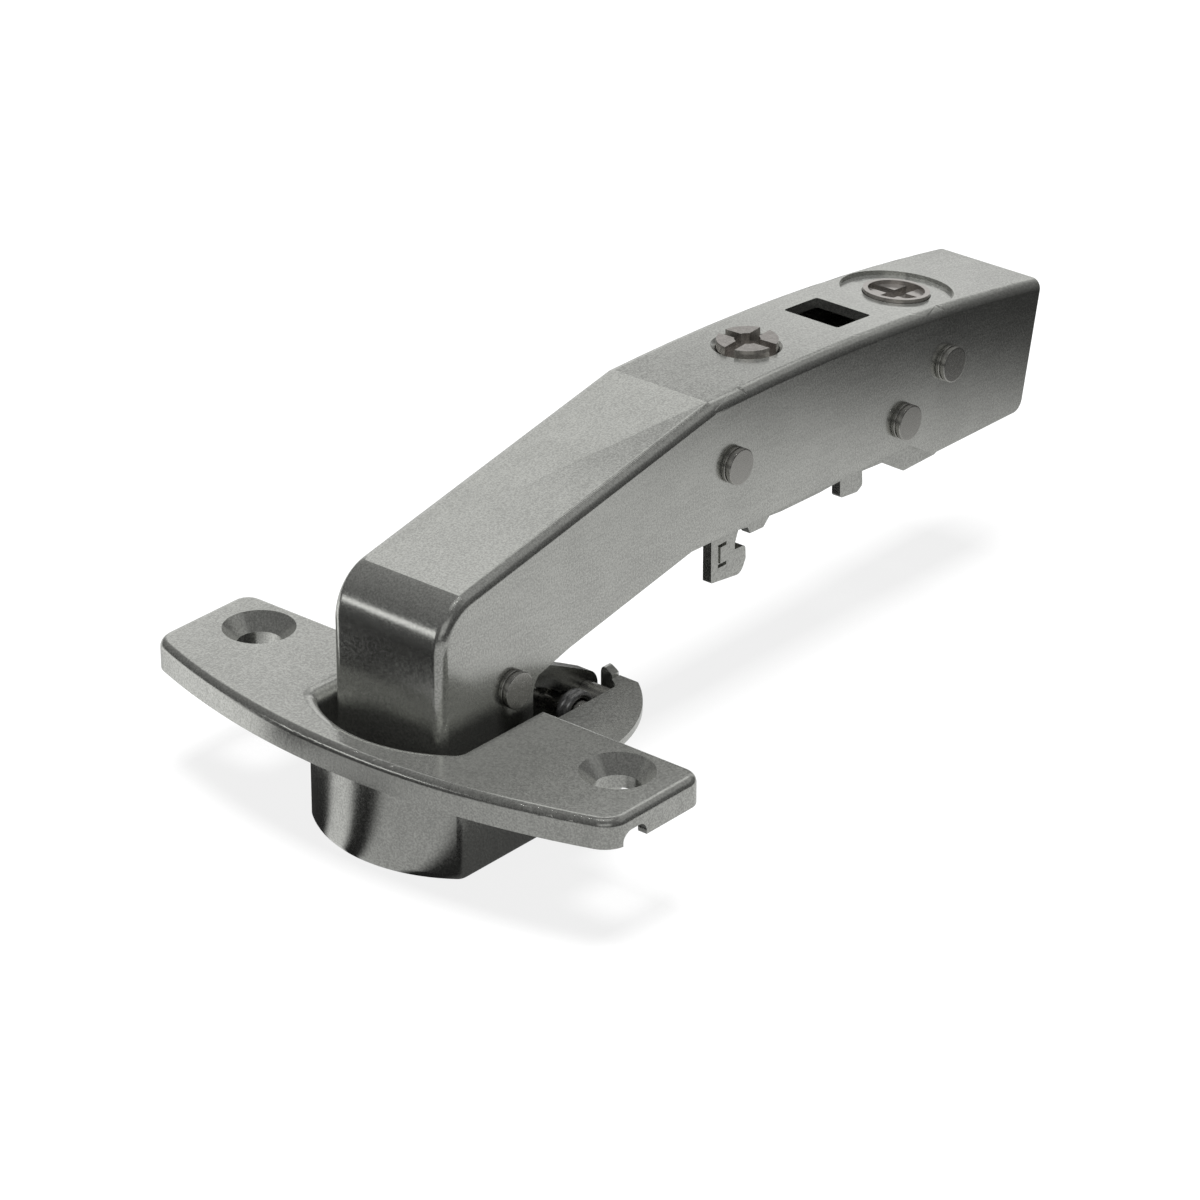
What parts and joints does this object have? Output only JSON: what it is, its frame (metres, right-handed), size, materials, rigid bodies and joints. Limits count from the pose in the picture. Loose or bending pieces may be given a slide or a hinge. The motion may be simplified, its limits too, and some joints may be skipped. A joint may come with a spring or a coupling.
{
  "type": "concealed cabinet hinge",
  "caption": "Concealed cabinet hinge for a door parallel to a filler panel: flat-sided 35 mm cup with flange, two hidden links, cranked clip-on arm with hooks and adjusting screws.",
  "frame": {"origin": "midway between the two screw holes of the flange, on the plane of the door face", "axes": "+X along the line of the screw holes, +Y towards the far end of the arm, +Z out of the door face"},
  "size_m": [0.0666, 0.1143, 0.0399],
  "materials": {
    "nickel_cup": "satin nickel plate on drawn steel",
    "nickel_arm": "satin nickel plate on folded steel",
    "nickel_sheet": "satin nickel plate on stamped steel",
    "nickel_pin": "nickel plated steel wire",
    "nickel_zinc": "nickel plated zinc",
    "spring_steel": "bright spring wire",
    "grey_plastic": "moulded"
  },
  "bodies": {
    "cup": {"cup": "nickel_cup", "cup_pin_outer": "nickel_pin", "cup_pin_inner": "nickel_pin", "closing_spring_left": "spring_steel", "closing_spring_right": "spring_steel", "damper_housing": "grey_plastic"},
    "damper_plunger": {"damper_plunger": "grey_plastic"},
    "outer_link": {"outer_link": "nickel_sheet"},
    "inner_link": {"inner_link": "nickel_sheet"},
    "arm": {"arm_shell": "nickel_arm", "link_pin_outer": "nickel_pin", "link_pin_inner": "nickel_pin", "front_cross_pin": "nickel_pin", "middle_cross_pin": "nickel_pin", "rear_cross_pin": "nickel_pin"},
    "overlay_screw": {"overlay_screw": "nickel_zinc"},
    "depth_cam": {"depth_cam": "nickel_zinc"},
    "overlay_frame": {"overlay_frame": "nickel_sheet", "guide_pin": "nickel_pin"},
    "clip_carrier": {"clip_carrier": "nickel_sheet", "lever_pin": "nickel_pin"},
    "release_lever": {"release_lever": "nickel_sheet", "lever_spring": "spring_steel"}
  },
  "joints": [
    {"name": "hinge_fold", "type": "hinge", "parent": "cup", "child": "outer_link", "pos_m": [0, 0.0182, -0.001], "axis": [-1, 0, 0], "range_deg": [0, 124], "stiffness_Nm_per_rad": 0.057, "springref_deg": -20.4},
    {"name": "arm_turn", "type": "hinge", "parent": "outer_link", "child": "arm", "pos_m": [0, 0.004, 0.0055], "axis": [1, 0, 0], "range_deg": [0, 29]},
    {"name": "inner_link_turn", "type": "hinge", "parent": "cup", "child": "inner_link", "pos_m": [0, 0.0144, -0.0012], "axis": [-1, 0, 0], "range_deg": [0, 130]},
    {"name": "damper_stroke", "type": "slide", "parent": "cup", "child": "damper_plunger", "axis": [0, 0, 1], "range_m": [0, 0.0025]},
    {"name": "overlay_screw_turn", "type": "hinge", "parent": "arm", "child": "overlay_screw", "pos_m": [0, 0.0535, 0.026], "axis": [0, 0, 1], "range_deg": [-260, 260]},
    {"name": "overlay_tilt", "type": "hinge", "parent": "arm", "child": "overlay_frame", "pos_m": [0, 0.08105, 0.01766], "axis": [1, 0, 0], "range_deg": [-1.5, 1.5]},
    {"name": "depth_cam_turn", "type": "hinge", "parent": "arm", "child": "depth_cam", "pos_m": [0, 0.0812, 0.0248], "axis": [0, 0.1169, 0.9931], "range_deg": [-150, 150]},
    {"name": "depth_slide", "type": "slide", "parent": "overlay_frame", "child": "clip_carrier", "axis": [0, 1, 0], "range_m": [-0.0016, 0.0016]},
    {"name": "release_lift", "type": "hinge", "parent": "clip_carrier", "child": "release_lever", "pos_m": [0, 0.09, 0.015], "axis": [1, 0, 0], "range_deg": [0, 20], "stiffness_Nm_per_rad": 0.01, "springref_deg": -17.19}
  ],
  "couplings": [
    {"joint": "arm_turn", "follows": "hinge_fold", "ratio": 0.23387},
    {"joint": "inner_link_turn", "follows": "hinge_fold", "ratio": 1.0484},
    {"joint": "damper_stroke", "follows": "hinge_fold", "m_per_rad": 0.0011552},
    {"joint": "overlay_screw_turn", "follows": "overlay_tilt", "ratio": 173.33},
    {"joint": "depth_cam_turn", "follows": "depth_slide", "rad_per_m": 1636.2}
  ]
}
